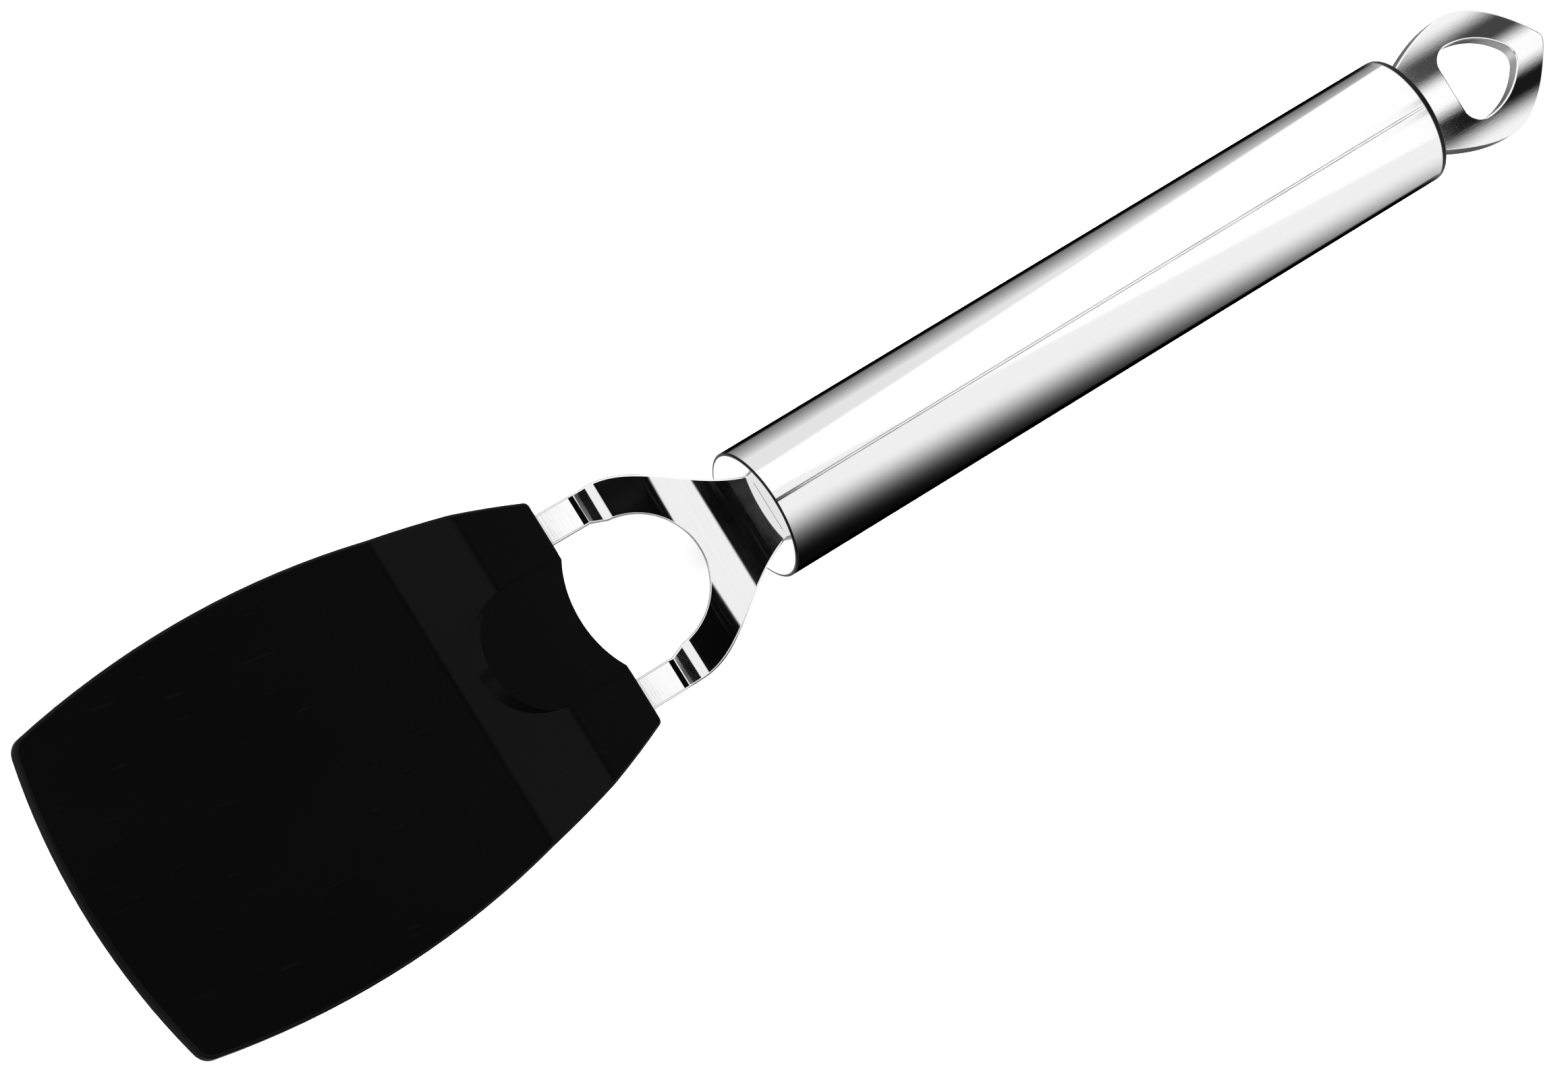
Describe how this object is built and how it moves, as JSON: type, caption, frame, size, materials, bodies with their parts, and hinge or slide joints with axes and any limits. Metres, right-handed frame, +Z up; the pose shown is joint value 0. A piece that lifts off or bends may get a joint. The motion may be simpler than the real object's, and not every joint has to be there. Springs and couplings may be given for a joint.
{
  "type": "offset spatula",
  "caption": "Offset spatula: a bowed black nylon blade moulded onto a cranked polished steel fork, with a hollow round steel handle and a flat hanging ring at its end.",
  "frame": {"origin": "middle of the blade's flat underside, the face that rests on the pan or the work surface", "axes": "+X runs back from the blade to the handle and the hanging ring, +Z is up out of the blade's upper face, and the object is symmetric about y = 0"},
  "size_m": [0.3291, 0.069, 0.0729],
  "materials": {
    "black_nylon": "satin moulded black nylon",
    "polished_steel": "mirror polished stainless steel",
    "handle_steel": "polished stainless steel with a fine lengthwise grain",
    "weld_metal": "ground weld"
  },
  "bodies": {
    "root": {"blade": "black_nylon", "fork": "polished_steel", "front_cap": "handle_steel", "tang_weld": "weld_metal", "front_seam_weld": "weld_metal", "handle_tube": "handle_steel", "rear_seam_weld": "weld_metal", "rear_cap": "handle_steel", "ring_weld": "weld_metal", "hanging_ring": "polished_steel"}
  },
  "joints": []
}
